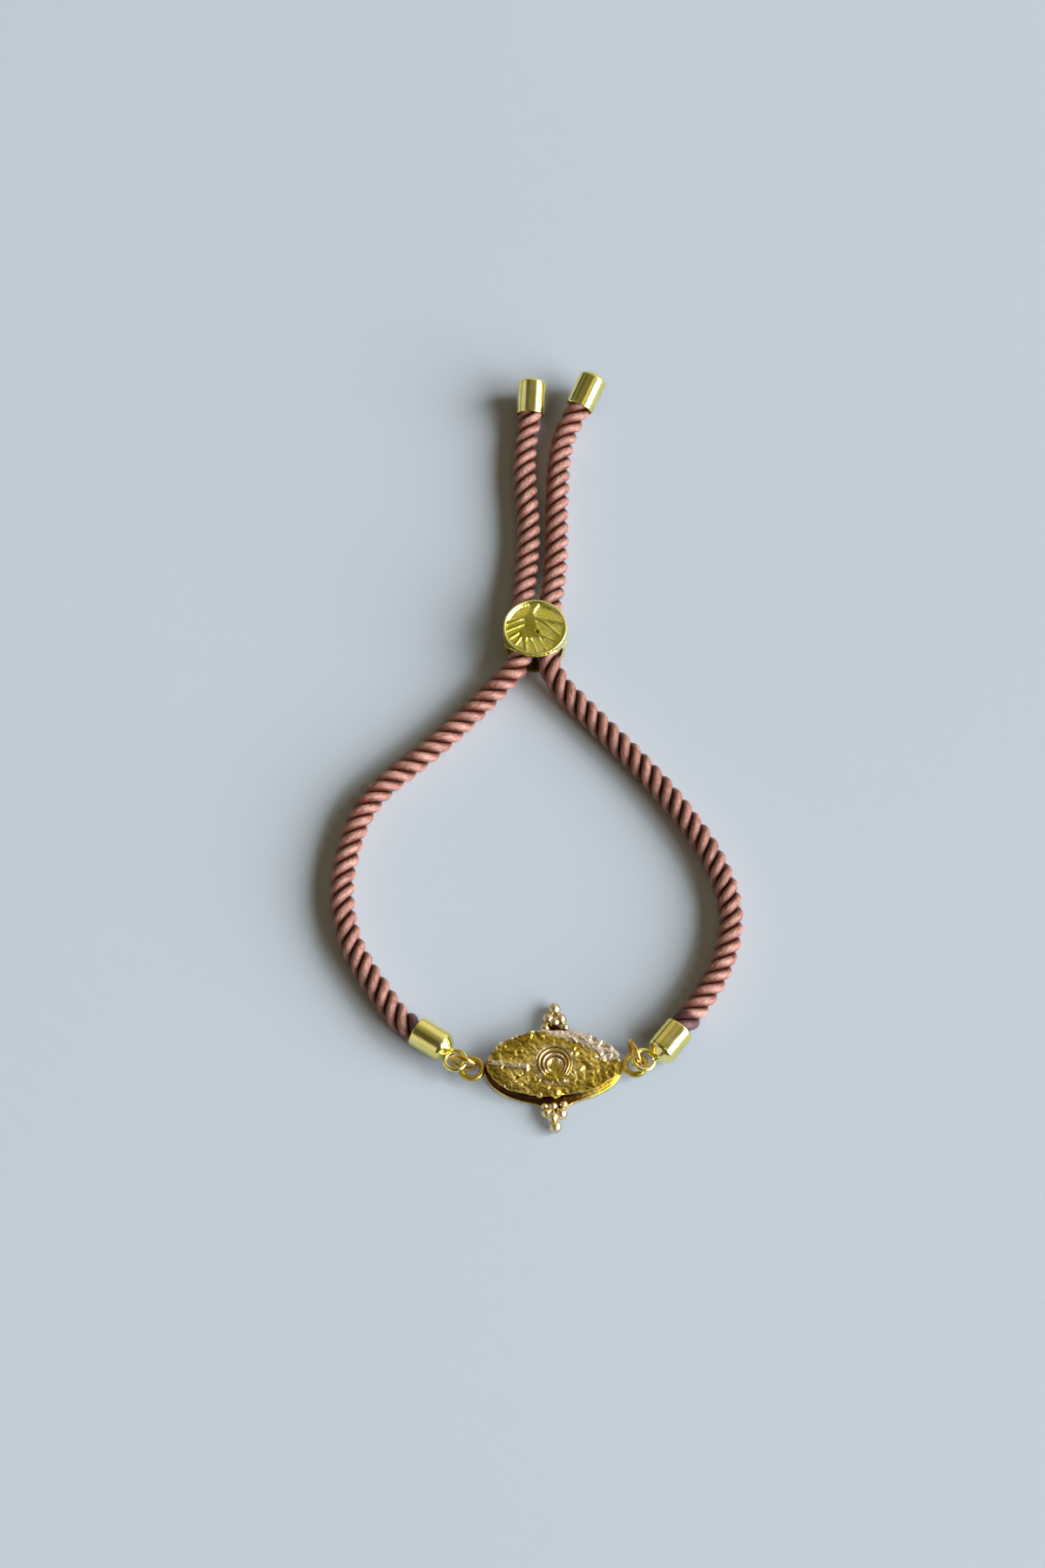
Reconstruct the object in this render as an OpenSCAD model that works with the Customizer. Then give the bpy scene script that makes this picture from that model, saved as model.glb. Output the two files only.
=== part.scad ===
// Adjustable rope bracelet, lying flat: two twisted ropes, a cast oval connector with a raised
// crescent, jump rings, cord caps and a drum-shaped slider that both ropes pass through.
// Millimetres. +Y runs from the connector to the rope tails, +Z is up, z = 0 is the surface below.

/* [Rope] */
// Diameter over the twisted strands
rope_d = 3.1; // [2.8:0.1:3.1]

/* [Slider bead] */
// Diameter of the drum
slider_d = 8.1; // [7.8:0.1:9]
// Height of the drum
slider_h = 4.5; // [4.4:0.1:5]

/* [Upper caps] */
// Outer diameter of the plain caps on the rope tails
upper_cap_d = 3.8; // [3.8:0.1:4]
// Length of a plain cap
upper_cap_l = 4.8; // [4.6:0.1:6]

/* [Lower caps] */
// Outer diameter of the caps that end in a loop
lower_cap_d = 3.7; // [3.6:0.1:3.7]
// Length of the straight barrel
lower_cap_l = 3.8; // [3.6:0.1:4.2]
// Height of the domed end
lower_cap_dome = 0.9; // [0.6:0.1:1.2]

/* [Jump rings] */
// Outer diameter of a jump ring
jump_ring_d = 3.5; // [3.4:0.05:3.5]
// Thickness of its wire
jump_ring_wire = 0.68; // [0.6:0.02:0.7]

/* [Connector] */
// Length of the oval plate, end loops apart
plate_l = 16.5; // [15:0.5:17]
// Width of the oval plate
plate_w = 9; // [8:0.5:9.5]
// Thickness of the plate
plate_t = 2.4; // [2:0.1:2.8]
// Outer diameter of the raised crescent
crescent_d = 4.4; // [3.6:0.2:5]

/* [Hidden] */

gold = "gold";
warm_gold = "goldenrod";
rose_brown = "rosybrown";
round_fn = 48;

// Rope: an eight-sided tube whose corners stand a little outside the nominal circle
rope_sides = 8;
rope_r = rope_d / 2 + 0.05;

// Slider: the passage for both ropes is a flat slot with round ends
slider_at = [0, 13.2];
passage_w = 7.1;
passage_h = 3.5;

// Caps: mouth centres, the direction from mouth to closed end, and how deep the rope goes in
lower_cap_z = lower_cap_d / 2;
upper_cap_z = 2.2;
lower_cap_wall = 0.2;
upper_cap_wall = 0.2;
lower_cap_depth = 3.4;
upper_cap_depth = 4;
left_mouth = [-14.2, -40.7];
left_turn = -32.5;
right_mouth = [17.1, -40.45];
right_turn = -128.7;
left_tail_mouth = [-0.55, 46.97];
left_tail_turn = 86.6;
right_tail_mouth = [5.91, 48.16];
right_tail_turn = 64.2;
// The stiff tails lift the closed ends of the upper caps by this angle
tail_rise = 15;

// Loop on each lower cap: a ring bent aside from the cap's axis and raised over the connector's loop
cap_loop_r = 1.25;
cap_loop_wire = 0.6;
cap_loop_reach = 1.5;
cap_loop_rise = 9.5;
left_loop_turn = -63;
right_loop_turn = -165;

// Connector
connector_at = [2.1, -45];
connector_turn = 1.5;
plate_step = 0.45;
plate_foot = 1.1;
plate_points = 64;
end_loop_x = plate_l / 2 + 1.43;
end_loop_r = 1.24;
end_loop_wire = 0.76;
end_loop_z = 1.2;
crescent_h = 0.5;
crescent_bore = 2.5;
crescent_drop = 0.62;
// Rows of grains beyond the plate's edge: distance past the edge, grain radius, height, places across
grain_rows = [
    [0.55, 0.65, 0.75, [-1.15, 0, 1.15]],
    [1.7, 0.72, 0.82, [-0.7, 0.7]],
    [2.95, 0.78, 0.88, [0]]
];
boss_at = [0.15, -3.6];
boss_r = 0.55;

// Jump rings: centre and the direction of the ring's axis, both rings standing on edge
jump_ring_z = jump_ring_d / 2 + 0.02;
jump_left_at = [-8.65, -44.75];
jump_left_turn = 74.8;
jump_right_at = [11.7, -43.45];
jump_right_turn = 23;

// Left rope, from inside its lower cap, round the loop, through the slider to its tail cap
left_route = [
    [-11.6, -42.35, 1.85], [-14.2, -40.7, 1.85], [-16.1, -39.2, 1.7], [-17.7, -37.1, 1.6],
    [-19.2, -34.8, 1.6], [-20.6, -32.6, 1.6], [-21.9, -30.2, 1.6], [-22.8, -27.6, 1.6],
    [-23.4, -24.9, 1.6], [-23.6, -22.1, 1.6], [-23.4, -19.3, 1.6], [-22.9, -16.5, 1.6],
    [-22.2, -13.9, 1.6], [-21.2, -11.4, 1.6], [-19.8, -9.2, 1.6], [-18, -7.2, 1.6],
    [-16, -5.4, 1.6], [-14, -3.6, 1.6], [-12, -1.7, 1.6], [-10.1, 0.2, 1.6],
    [-8.2, 2.2, 1.6], [-6.3, 4.3, 1.7], [-4.4, 6.4, 1.95], [-2.5, 8.6, 2.2],
    [-1.62, 11, 2.25], [-1.6, 13.4, 2.25], [-1.6, 16.3, 2.25], [-1.45, 19.3, 2.05],
    [-1.2, 22.4, 1.75], [-0.95, 25.5, 1.6], [-0.8, 28.6, 1.6], [-0.9, 31.7, 1.6],
    [-1.15, 34.8, 1.6], [-1.35, 37.9, 1.6], [-1.3, 41, 1.6], [-1, 44.3, 1.7],
    [-0.55, 46.97, 2.2], [-0.34, 50.44, 3.13]
];

// Right rope, the same way
right_route = [
    [15.1, -42.95, 1.85], [17.1, -40.45, 1.85], [18.8, -38.2, 1.7], [20.3, -35.9, 1.6],
    [21.7, -33.5, 1.6], [22.8, -30.9, 1.6], [23.5, -28.2, 1.6], [23.7, -25.4, 1.6],
    [23.4, -22.6, 1.6], [22.6, -19.9, 1.6], [21.5, -17.3, 1.6], [20.2, -14.9, 1.6],
    [18.7, -12.5, 1.6], [17.2, -10.3, 1.6], [15.6, -8.1, 1.6], [13.9, -6, 1.6],
    [12.2, -3.9, 1.6], [10.4, -1.9, 1.6], [8.6, 0.1, 1.6], [6.8, 2.1, 1.6],
    [4.9, 4.2, 1.7], [3, 6.4, 1.95], [1.95, 8.8, 2.2], [1.7, 11, 2.25],
    [1.75, 13.4, 2.25], [1.8, 16.3, 2.25], [2.2, 19.3, 2.05], [2.6, 22.4, 1.75],
    [2.8, 25.6, 1.6], [2.9, 28.8, 1.6], [2.9, 32, 1.6], [3, 35.2, 1.6],
    [3.15, 38.4, 1.6], [3.5, 41.6, 1.6], [4.1, 44.2, 1.62], [4.95, 46.3, 1.78],
    [5.91, 48.16, 2.2], [7.42, 51.29, 3.13]
];

function unit(v) = v / norm(v);

// Direction of a route at point i, from the neighbour before to the neighbour after
function heading(route, i) = unit(route[min(i + 1, len(route) - 1)] - route[max(i - 1, 0)]);

// Corners of the rope's section at point i, square to the route
function section(route, i) =
    let(ahead = heading(route, i), side = unit(cross(ahead, [0, 0, 1])), above = cross(side, ahead))
    [for (k = [0:rope_sides - 1]) let(a = 360 * (k + 0.5) / rope_sides)
        route[i] + rope_r * (cos(a) * side + sin(a) * above)];

// Points of the plate's outline: an ellipse a little slimmer towards its right end
function plate_outline(inset) = [for (i = [0:plate_points - 1]) let(a = 360 * i / plate_points)
    [(plate_l / 2 - inset) * cos(a), (plate_w / 2 - inset) * sin(a) * (1 - 0.05 * cos(a))]];

// A closed tube through the sections of a route
module rope(route) {
    rings = len(route);
    skin = [for (i = [0:rings - 2]) for (k = [0:rope_sides - 1])
        let(near = i * rope_sides + k, beside = i * rope_sides + (k + 1) % rope_sides)
        [near, near + rope_sides, beside + rope_sides, beside]];
    first = [for (k = [0:rope_sides - 1]) k];
    last = [for (k = [rope_sides - 1:-1:0]) (rings - 1) * rope_sides + k];
    color(rose_brown)
        polyhedron(points = [for (i = [0:rings - 1]) each section(route, i)],
            faces = concat([first], skin, [last]));
}

// A round-wired ring about the Z axis
module wire_ring(r, wire) {
    rotate_extrude($fn = round_fn) translate([r, 0]) circle(d = wire, $fn = round_fn / 2);
}

// A ring standing on edge, its axis level and turned from the X axis
module jump_ring(at, turn) {
    color(warm_gold)
        translate([at[0], at[1], jump_ring_z]) rotate([0, 90, turn])
            wire_ring((jump_ring_d - jump_ring_wire) / 2, jump_ring_wire);
}

// Turns a solid built along +Z so that it lies along a direction, level or rising
module lay_along(mouth, height, turn, rise = 0) {
    translate([mouth[0], mouth[1], height]) rotate([0, 90 - rise, turn]) children();
}

// Barrel with a domed end: the dome is part of a ball that meets the barrel's edge
module lower_cap_body() {
    r = lower_cap_d / 2;
    ball = (r * r + lower_cap_dome * lower_cap_dome) / (2 * lower_cap_dome);
    difference() {
        union() {
            cylinder(r = r, h = lower_cap_l, $fn = round_fn);
            intersection() {
                translate([0, 0, lower_cap_l + lower_cap_dome - ball]) sphere(r = ball, $fn = round_fn);
                translate([0, 0, lower_cap_l]) cylinder(r = r, h = lower_cap_dome, $fn = round_fn);
            }
        }
        translate([0, 0, -1])
            cylinder(r = r - lower_cap_wall, h = lower_cap_depth + 1, $fn = round_fn);
    }
}

// Cap with a soldered loop: the neck runs from the dome to the loop's near side
module lower_cap(mouth, turn, loop_turn) {
    reach = lower_cap_l + lower_cap_dome;
    end = [mouth[0] + reach * cos(turn), mouth[1] + reach * sin(turn), lower_cap_z];
    color(gold) {
        lay_along(mouth, lower_cap_z, turn) lower_cap_body();
        translate(end) rotate([0, 90 - cap_loop_rise, loop_turn]) {
            translate([0, 0, -0.5]) cylinder(d = 0.9, h = 0.9, $fn = round_fn);
            translate([0, 0, cap_loop_reach]) rotate([0, 90, 0]) wire_ring(cap_loop_r, cap_loop_wire);
        }
    }
}

// Plain cup with a bevelled closed end
module upper_cap(mouth, turn) {
    r = upper_cap_d / 2;
    bevel = 0.4;
    color(gold) lay_along(mouth, upper_cap_z, turn, tail_rise)
        difference() {
            rotate_extrude($fn = round_fn) polygon([[0, 0], [r, 0], [r, upper_cap_l - bevel],
                [r - bevel, upper_cap_l], [0, upper_cap_l]]);
            translate([0, 0, -1])
                cylinder(r = r - upper_cap_wall, h = upper_cap_depth + 1, $fn = round_fn);
        }
}

// Drum with a flat slot through its wall, along Y
module slider() {
    half = (passage_w - passage_h) / 2;
    color(gold) translate([slider_at[0], slider_at[1], 0])
        difference() {
            cylinder(d = slider_d, h = slider_h, $fn = round_fn);
            translate([-half, -slider_d, (slider_h - passage_h) / 2])
                cube([2 * half, 2 * slider_d, passage_h]);
            for (side = [-half, half])
                translate([side, slider_d, slider_h / 2]) rotate([90, 0, 0])
                    cylinder(d = passage_h, h = 2 * slider_d, $fn = round_fn);
        }
}

// Pyramid of three, two and one grains beyond the plate's edge, on the side +1 or -1 of the plate
module grains(side) {
    for (row = grain_rows)
        for (across = row[3])
            translate([across, side * (plate_w / 2 + row[0]), row[2]]) sphere(r = row[1], $fn = 32);
}

// Raised crescent, open towards -Y
module crescent() {
    translate([0, 0, plate_t - 0.1])
        difference() {
            cylinder(d = crescent_d, h = crescent_h + 0.1, $fn = round_fn);
            translate([0, -crescent_drop, -1])
                cylinder(d = crescent_bore, h = crescent_h + 2, $fn = round_fn);
            translate([-0.9, -crescent_d, -1]) cube([1.8, crescent_d - 1.1, crescent_h + 2]);
        }
}

// Oval plate with a wider foot, end loops, grains, crescent and the small boss on its front edge
module connector() {
    color(warm_gold) translate([connector_at[0], connector_at[1], 0]) rotate([0, 0, connector_turn]) {
        linear_extrude(plate_foot) polygon(plate_outline(0));
        linear_extrude(plate_t) polygon(plate_outline(plate_step));
        crescent();
        for (side = [-1, 1]) {
            translate([side * end_loop_x, 0, end_loop_z]) wire_ring(end_loop_r, end_loop_wire);
            grains(side);
        }
        translate([boss_at[0], boss_at[1], plate_t - 0.2]) sphere(r = boss_r, $fn = 32);
    }
}

connector();
jump_ring(jump_left_at, jump_left_turn);  // jump_ring_left
jump_ring(jump_right_at, jump_right_turn);  // jump_ring_right
lower_cap(left_mouth, left_turn, left_loop_turn);  // lower_cap_left
lower_cap(right_mouth, right_turn, right_loop_turn);  // lower_cap_right
rope(left_route);  // rope_left
rope(right_route);  // rope_right
slider();
upper_cap(left_tail_mouth, left_tail_turn);  // upper_cap_left
upper_cap(right_tail_mouth, right_tail_turn);  // upper_cap_right
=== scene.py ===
import bmesh
import bpy
import numpy as np
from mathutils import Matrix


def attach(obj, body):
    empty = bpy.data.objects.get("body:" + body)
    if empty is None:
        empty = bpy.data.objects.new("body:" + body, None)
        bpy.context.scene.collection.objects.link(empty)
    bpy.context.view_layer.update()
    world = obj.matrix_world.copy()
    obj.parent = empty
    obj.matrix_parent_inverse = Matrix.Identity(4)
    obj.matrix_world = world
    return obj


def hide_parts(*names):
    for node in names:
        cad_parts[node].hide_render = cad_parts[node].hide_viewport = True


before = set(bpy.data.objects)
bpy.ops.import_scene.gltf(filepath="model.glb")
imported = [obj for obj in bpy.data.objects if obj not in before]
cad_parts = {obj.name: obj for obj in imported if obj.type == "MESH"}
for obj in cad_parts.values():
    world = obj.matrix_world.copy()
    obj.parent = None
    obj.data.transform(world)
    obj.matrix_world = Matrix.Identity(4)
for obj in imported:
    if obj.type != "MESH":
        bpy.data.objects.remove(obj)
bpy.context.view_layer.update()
mm = 0.001

# Camera: the photo looks along +Y, steeply down
shot = {"target": (-1.6, -6.8, 0.0), "distance": 359.0, "elevation": 63.0, "lens": 66.0}
steepness = np.radians(shot["elevation"])
camera = bpy.data.objects.new("camera", bpy.data.cameras.new("camera"))
camera.data.lens = shot["lens"]
camera.location = np.array(shot["target"]) * mm + shot["distance"] * mm * np.array(
    [0, -np.cos(steepness), np.sin(steepness)])
camera.rotation_euler = (np.pi / 2 - steepness, 0, 0)
bpy.context.scene.collection.objects.link(camera)
bpy.context.scene.camera = camera
print("camera set")


# Shader wires: arithmetic on a wire adds Math nodes, and node() adds any other node,
# its settings first and then the values or wires of its sockets
class Wire:
    def __init__(self, tree, socket=None):
        self.tree, self.socket = tree, socket

    def node(self, kind, settings=None, sockets=None, output=0):
        made = self.tree.nodes.new("ShaderNode" + kind)
        for key, value in (settings or {}).items():
            setattr(made, key, value)
        for key, value in (sockets or {}).items():
            if isinstance(value, Wire):
                self.tree.links.new(value.socket, made.inputs[key])
            else:
                made.inputs[key].default_value = value
        return Wire(self.tree, made.outputs[output])

    def maths(self, operation, first, second=0.0):
        return self.node("Math", {"operation": operation}, {0: first, 1: second})

    def clamped(self):
        return self.node("Math", {"operation": "ADD", "use_clamp": True}, {0: self, 1: 0.0})

    def __add__(self, other):
        return self.maths("ADD", self, other)

    def __sub__(self, other):
        return self.maths("SUBTRACT", self, other)

    def __rsub__(self, other):
        return self.maths("SUBTRACT", other, self)

    def __mul__(self, other):
        return self.maths("MULTIPLY", self, other)

    __radd__ = __add__
    __rmul__ = __mul__


# A new material: its name, the shader's fixed values, and a function that gives the changing
# inputs of the shader as wires
def newFinish(name, fixed, changing):
    material = bpy.data.materials.new(name)
    material.use_nodes = True
    tree = material.node_tree
    shader = tree.nodes["Principled BSDF"]
    for key, value in fixed.items():
        shader.inputs[key].default_value = value
    for key, wire in changing(Wire(tree)).items():
        tree.links.new(wire.socket, shader.inputs[key])
    return material


def blendColour(wire, share, first, second):
    return wire.node("Mix", {"data_type": "RGBA"}, {0: share, 6: first, 7: second}, output=2)


# Object coordinates, or those of source, stretched by a factor for each axis
def stretched(wire, factors, source=None):
    source = source or wire.node("TexCoord", output=3)
    return wire.node("Mapping", {}, {"Vector": source, "Scale": factors})


def noise(wire, vector, scale, detail=3.0, rough=0.5):
    sockets = {"Vector": vector, "Scale": scale, "Detail": detail, "Roughness": rough}
    return wire.node("TexNoise", {}, sockets)


def bump(wire, height, depth):
    return wire.node("Bump", {}, {"Height": height, "Strength": 1.0, "Distance": depth * mm})


# Points and faces of a closed surface given as a grid: the columns run round, and the rows
# either run round too (ring) or close in a point at the middle of the first and last row.
# Faces are turned outwards by the sign of the volume, the sum of a . (b x c) over triangles.
def closedSurface(grid, ring=False):
    if not ring:
        ends = [grid[k].mean(0, keepdims=True).repeat(grid.shape[1], 0)[None] for k in (0, -1)]
        grid = np.concatenate([ends[0], grid, ends[1]])
    rows, columns = grid.shape[:2]
    index = np.arange(rows * columns).reshape(rows, columns)
    if not ring:
        index[0], index[-1] = index[0, 0], index[-1, 0]
        near, far = index[:-1], index[1:]
    else:
        near, far = index, np.roll(index, -1, 0)
    quads = np.stack([near, np.roll(near, -1, 1), np.roll(far, -1, 1), far], -1).reshape(-1, 4)
    points = grid.reshape(-1, 3)
    a, b, c, d = (points[quads[:, k]] for k in range(4))
    volume = (a * (np.cross(b, c) + np.cross(c, d))).sum()
    if volume < 0:
        quads = quads[:, ::-1]
    first = quads[:, 0] == quads[:, 1]
    last = quads[:, 2] == quads[:, 3]
    middle = quads[~(first | last)]
    corners = np.concatenate([quads[first][:, [0, 2, 3]], quads[last][:, [0, 1, 2]]])
    return points, middle, corners


# One piece from closed surfaces in millimetres. values holds a named number or vector for each point.
def makePiece(name, surfaces, finish, node, slotName, values=None, sharp=40.0):
    points = np.concatenate([s[0] for s in surfaces])
    start = np.cumsum([0] + [len(s[0]) for s in surfaces[:-1]])
    faces = [f for s, k in zip(surfaces, start) for part in s[1:] for f in (part + k).tolist()]
    mesh = bpy.data.meshes.new(name)
    mesh.from_pydata((points * mm).tolist(), [], faces)
    for key, value in (values or {}).items():
        value = np.asarray(value, np.float32)
        vector = value.ndim == 2
        layer = mesh.attributes.new(key, "FLOAT_VECTOR" if vector else "FLOAT", "POINT")
        layer.data.foreach_set("vector" if vector else "value", value.ravel())
    removeLoosePoints(mesh)
    mesh.shade_smooth()
    mesh.set_sharp_from_angle(angle=np.radians(sharp))
    mesh.materials.append(finish)
    piece = bpy.data.objects.new(name, mesh)
    bpy.context.scene.collection.objects.link(piece)
    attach(piece, "root")
    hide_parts(node)
    piece.visible_diffuse = slotName == "rope_cord"  # metal throws no glow on the floor
    print("made", name, "with", len(mesh.polygons), "faces")
    return piece


# The closed ends leave spare copies of their middle point, and this takes them out
def removeLoosePoints(mesh):
    work = bmesh.new()
    work.from_mesh(mesh)
    bmesh.ops.delete(work, geom=[v for v in work.verts if not v.link_faces], context="VERTS")
    work.to_mesh(mesh)
    work.free()


def unit(vectors):
    return vectors / np.linalg.norm(vectors, axis=-1, keepdims=True)


# Rises from 0 at low to 1 at high by 3 t^2 - 2 t^3
def smoothStep(value, low, high):
    t = np.clip((value - low) / (high - low), 0, 1)
    return t * t * (3 - 2 * t)


# Turns points about Z by degrees and moves them
def placed(points, turn, at):
    c, s = np.cos(np.radians(turn)), np.sin(np.radians(turn))
    return points @ np.array([[c, s, 0], [-s, c, 0], [0, 0, 1]]) + np.array(at)


# A polyline whose inner corners become short curves: (1-t)^2 a + 2t(1-t) corner + t^2 b, where
# a and b lie soften before and after the corner
def softProfile(corners, soften, steps=6):
    corners = np.array(corners, float)
    t = np.linspace(0, 1, steps)[:, None]
    runs = [corners[:1]]
    for before, corner, after in zip(corners, corners[1:], corners[2:]):
        a = corner + unit(before - corner) * min(soften, 0.45 * np.linalg.norm(before - corner))
        b = corner + unit(after - corner) * min(soften, 0.45 * np.linalg.norm(after - corner))
        runs.append((1 - t) ** 2 * a + 2 * t * (1 - t) * corner + t ** 2 * b)
    return np.concatenate(runs + [corners[-1:]])


# More points along a polyline, none further apart than step
def refined(line, step):
    lengths = np.concatenate([[0], np.cumsum(np.linalg.norm(np.diff(line, axis=0), axis=1))])
    extra = np.linspace(0, lengths[-1], int(lengths[-1] / step) + 2)
    at = np.unique(np.concatenate([lengths, extra]).round(6))
    return np.stack([np.interp(at, lengths, line[:, k]) for k in range(line.shape[1])], -1)


# A turned shape: each (radius r, height h) of the profile becomes a ring, r (cos a, sin a) across
# the axis and h along it
def turned(profile, origin, axis, side, count=96):
    axis, side = unit(np.array(axis, float)), unit(np.array(side, float))
    third = np.cross(axis, side)
    a = np.linspace(0, 2 * np.pi, count, endpoint=False)[None, :, None]
    r, h = profile[:, 0, None, None], profile[:, 1, None, None]
    return np.array(origin) + r * (np.cos(a) * side + np.sin(a) * third) + h * axis


# A wire bent to a ring: centre + (R + w cos v)(cos u, sin u) in the ring's plane + w sin v along its axis
def wireRing(centre, axis, radius, wire, around=96, section=28, ridges=0.0):
    axis = unit(np.array(axis, float))
    side = unit(np.cross(axis, [0.3, 0.2, 1.0]))
    third = np.cross(axis, side)
    u = np.linspace(0, 2 * np.pi, around, endpoint=False)[:, None, None]
    v = np.linspace(0, 2 * np.pi, section, endpoint=False)[None, :, None]
    w = wire / 2 * (1 - ridges + ridges * np.cos(6 * v))
    across = (radius + w * np.cos(v)) * (np.cos(u) * side + np.sin(u) * third)
    return np.array(centre) + across + w * np.sin(v) * axis


# A ball: centre + radius (sin t cos a, sin t sin a, cos t), t running from just past one pole to
# just before the other
def ball(centre, radius, count=24, pole=0.02):
    t = np.linspace(pole, np.pi - pole, count // 2 + 1)[:, None, None]
    a = np.linspace(0, 2 * np.pi, count, endpoint=False)[None, :, None]
    x, y, z = np.sin(t) * np.cos(a), np.sin(t) * np.sin(a), np.cos(t) + 0 * a
    return np.array(centre) + radius * np.concatenate([x, y, z], -1)


# Ropes
# The colours: lit for the rope, pale for its pale fibres and a painted highlight on the crests, a dull red
# painted shade towards the grooves, a deep painted shade in them, and dark for the glued end
rope = {"outer": 1.55, "groove": 0.5, "strands": 3, "step": 0.2, "across": 24, "fullness": 0.9,
    "fibreTurn": 0.35, "darkEnd": 0.5, "darkSoft": 0.3, "lean": 0.8,
    "lit": (0.19, 0.048, 0.025), "redShade": (0.145, 0.030, 0.012), "deep": (0.045, 0.008, 0.003),
    "pale": (0.90, 0.45, 0.345), "dark": (0.10, 0.032, 0.038)}
# Patterns of the fibre, counted in millimetres across, along and across, their strengths, and the
# strength of the dull red painted shade towards the grooves
fibres = {"streaks": (7.0, 1.1, 7.0), "hairs": (16.0, 1.6, 16.0), "clouds": (0.7, 0.4, 0.7),
    "streakTone": 2.2, "cloudTone": 0.8, "hairTone": 0.32, "redShadeTone": 0.85, "bump": 0.05}

# Strands that have come round to the rope's right-hand side, counted at places along it in millimetres
leftStrands = [(0, -2.4), (5, 0.12), (29, 12.12), (59, 27), (74.4, 35), (100.2, 48), (106, 50.9)]
rightStrands = [(0, -2.4), (4.7, 0), (29.7, 13), (59.85, 28), (72.3, 34), (98.6, 47), (106, 50.6)]

leftRoute = [
    [-11.6, -42.35, 1.85], [-14.2, -40.7, 1.85], [-16.1, -39.2, 1.7], [-17.7, -37.1, 1.6],
    [-19.2, -34.8, 1.6], [-20.6, -32.6, 1.6], [-21.9, -30.2, 1.6], [-22.8, -27.6, 1.6],
    [-23.4, -24.9, 1.6], [-23.6, -22.1, 1.6], [-23.4, -19.3, 1.6], [-22.9, -16.5, 1.6],
    [-22.2, -13.9, 1.6], [-21.2, -11.4, 1.6], [-19.8, -9.2, 1.6], [-18, -7.2, 1.6],
    [-16, -5.4, 1.6], [-14, -3.6, 1.6], [-12, -1.7, 1.6], [-10.1, 0.2, 1.6],
    [-8.2, 2.2, 1.6], [-6.3, 4.3, 1.7], [-4.4, 6.4, 1.95], [-2.5, 8.6, 2.2],
    [-1.62, 11, 2.25], [-1.6, 13.4, 2.25], [-1.6, 16.3, 2.25], [-1.45, 19.3, 2.05],
    [-1.2, 22.4, 1.75], [-0.95, 25.5, 1.6], [-0.8, 28.6, 1.6], [-0.9, 31.7, 1.6],
    [-1.15, 34.8, 1.6], [-1.35, 37.9, 1.6], [-1.3, 41, 1.6], [-1, 44.3, 1.7],
    [-0.55, 46.97, 2.2], [-0.34, 50.44, 3.13]]

rightRoute = [
    [15.1, -42.95, 1.85], [17.1, -40.45, 1.85], [18.8, -38.2, 1.7], [20.3, -35.9, 1.6],
    [21.7, -33.5, 1.6], [22.8, -30.9, 1.6], [23.5, -28.2, 1.6], [23.7, -25.4, 1.6],
    [23.4, -22.6, 1.6], [22.6, -19.9, 1.6], [21.5, -17.3, 1.6], [20.2, -14.9, 1.6],
    [18.7, -12.5, 1.6], [17.2, -10.3, 1.6], [15.6, -8.1, 1.6], [13.9, -6, 1.6],
    [12.2, -3.9, 1.6], [10.4, -1.9, 1.6], [8.6, 0.1, 1.6], [6.8, 2.1, 1.6],
    [4.9, 4.2, 1.7], [3, 6.4, 1.95], [1.95, 8.8, 2.2], [1.7, 11, 2.25],
    [1.75, 13.4, 2.25], [1.8, 16.3, 2.25], [2.2, 19.3, 2.05], [2.6, 22.4, 1.75],
    [2.8, 25.6, 1.6], [2.9, 28.8, 1.6], [2.9, 32, 1.6], [3, 35.2, 1.6],
    [3.15, 38.4, 1.6], [3.5, 41.6, 1.6], [4.1, 44.2, 1.62], [4.95, 46.3, 1.78],
    [5.91, 48.16, 2.2], [7.42, 51.29, 3.13]]


# A smooth line through a route, by the Catmull-Rom cubic of each four points in a row, with
# points step apart
def smoothRoute(route, step):
    p = np.array(route, float)
    p = np.concatenate([2 * p[:1] - p[1:2], p, 2 * p[-1:] - p[-2:-1]])
    t = np.linspace(0, len(route) - 1, 40 * len(route))
    i = np.minimum(t.astype(int), len(route) - 2)
    u = (t - i)[:, None]
    a, b, c, d = p[i], p[i + 1], p[i + 2], p[i + 3]
    line = 0.5 * (2 * b + (c - a) * u + (2 * a - 5 * b + 4 * c - d) * u ** 2
        + (3 * b - a - 3 * c + d) * u ** 3)
    along = np.concatenate([[0], np.cumsum(np.linalg.norm(np.diff(line, axis=0), axis=1))])
    at = np.linspace(0, along[-1], int(along[-1] / step) + 1)
    return np.stack([np.interp(at, along, line[:, k]) for k in range(3)], -1), at


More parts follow.
